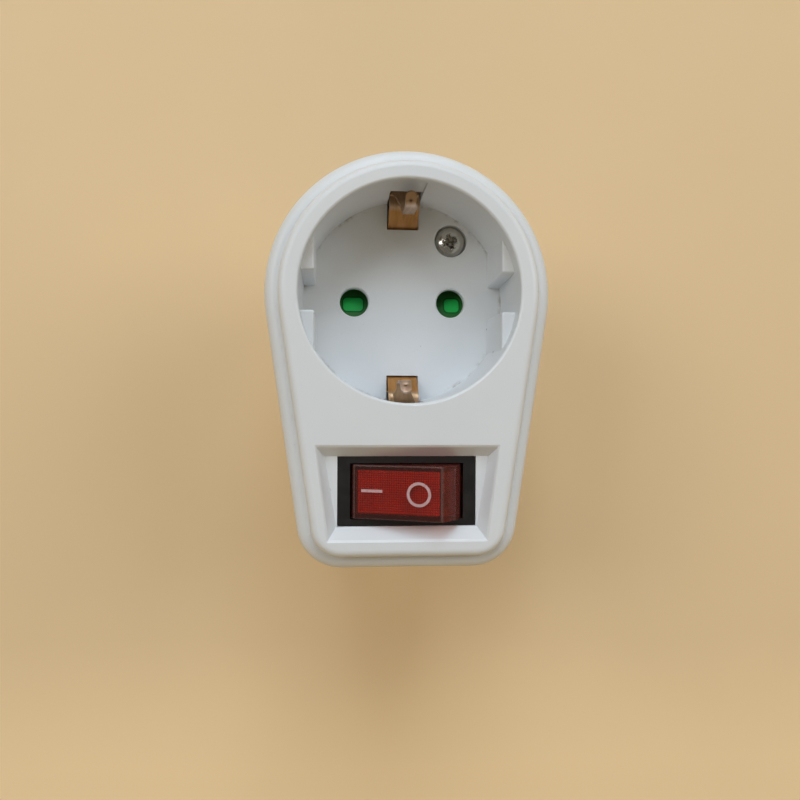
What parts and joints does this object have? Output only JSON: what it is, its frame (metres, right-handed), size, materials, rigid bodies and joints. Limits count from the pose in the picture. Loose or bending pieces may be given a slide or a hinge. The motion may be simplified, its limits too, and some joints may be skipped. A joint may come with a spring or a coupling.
{
  "type": "switched adapter plug",
  "caption": "Earthed plug-in adapter with a recessed shuttered socket on its face, a round-pin plug on its back and an illuminated rocker switch.",
  "frame": {"origin": "midway between the two plug pins, on the pin face of the plug body, which is also on the socket's axis", "axes": "+Z out of the socket, with the plug pins pointing along -Z; +X from the neutral pin to the live pin; +Y from the switch towards the socket"},
  "size_m": [0.0512, 0.0746, 0.066],
  "materials": {
    "white_plastic": "satin moulded cool white",
    "black_plastic": "fine satin black",
    "red_lens": "translucent red, glossy",
    "red_diffuser": "translucent red with a fine prism grid",
    "mark_white": "pale inlaid mark",
    "green_plastic": "glossy green",
    "carrier_plastic": "moulded thermoset",
    "brass": "pressed sheet",
    "bronze": "bright pressed spring sheet",
    "nickel": "bright nickel plate",
    "screw_steel": "bright zinc plate",
    "silver": "silver contact rivet",
    "spring_steel": "drawn wire",
    "tinned_wire": "tinned copper",
    "lamp_glass": "clear neon tube",
    "resistor_body": "lacquered resistor"
  },
  "bodies": {
    "housing": {"front_cover": "white_plastic", "rear_shell": "white_plastic", "assembly_screw": "screw_steel", "neutral_plug_pin": "nickel", "live_plug_pin": "nickel", "live_feed_strip": "brass", "live_load_strip": "brass", "neutral_strip": "brass", "neutral_socket_contact": "brass", "live_socket_contact": "brass", "contact_carrier": "carrier_plastic", "shutter_spring": "spring_steel", "earth_bridge": "nickel", "upper_earth_clip": "bronze", "lower_earth_clip": "bronze", "earth_rivets": "brass", "switch_frame": "black_plastic", "fixed_tip": "silver", "feed_blade": "brass", "load_blade": "brass", "neutral_blade": "brass", "lamp": "lamp_glass", "lamp_resistor": "resistor_body", "lamp_leads": "tinned_wire"},
    "shutter": {"shutter": "green_plastic"},
    "rocker": {"rocker_shell": "red_lens", "rocker_marks": "mark_white", "rocker_diffuser": "red_diffuser", "plunger_spring": "spring_steel"},
    "plunger": {"plunger": "black_plastic"},
    "lever": {"contact_lever": "brass", "moving_tip": "silver"}
  },
  "joints": [
    {"name": "rocker_tip", "type": "hinge", "parent": "housing", "child": "rocker", "pos_m": [-0.0003, -0.0351, 0.0388], "axis": [0, 1, 0], "range_deg": [0, 38]},
    {"name": "lever_tip", "type": "hinge", "parent": "housing", "child": "lever", "pos_m": [-0.0003, -0.0351, 0.0308], "axis": [0, 1, 0], "range_deg": [-16, 0]},
    {"name": "plunger_slide", "type": "slide", "parent": "rocker", "child": "plunger", "axis": [-0.3256, 0, 0.9455], "range_m": [0, 0.0004], "stiffness_N_per_m": 200, "springref_m": -0.001, "deforming": ["plunger_spring"]},
    {"name": "shutter_slide", "type": "slide", "parent": "housing", "child": "shutter", "axis": [0, -1, 0], "range_m": [0, 0.0062], "stiffness_N_per_m": 100, "springref_m": -0.002, "deforming": ["shutter_spring"]}
  ],
  "couplings": [
    {"joint": "lever_tip", "follows": "rocker_tip", "ratio": -0.421}
  ]
}
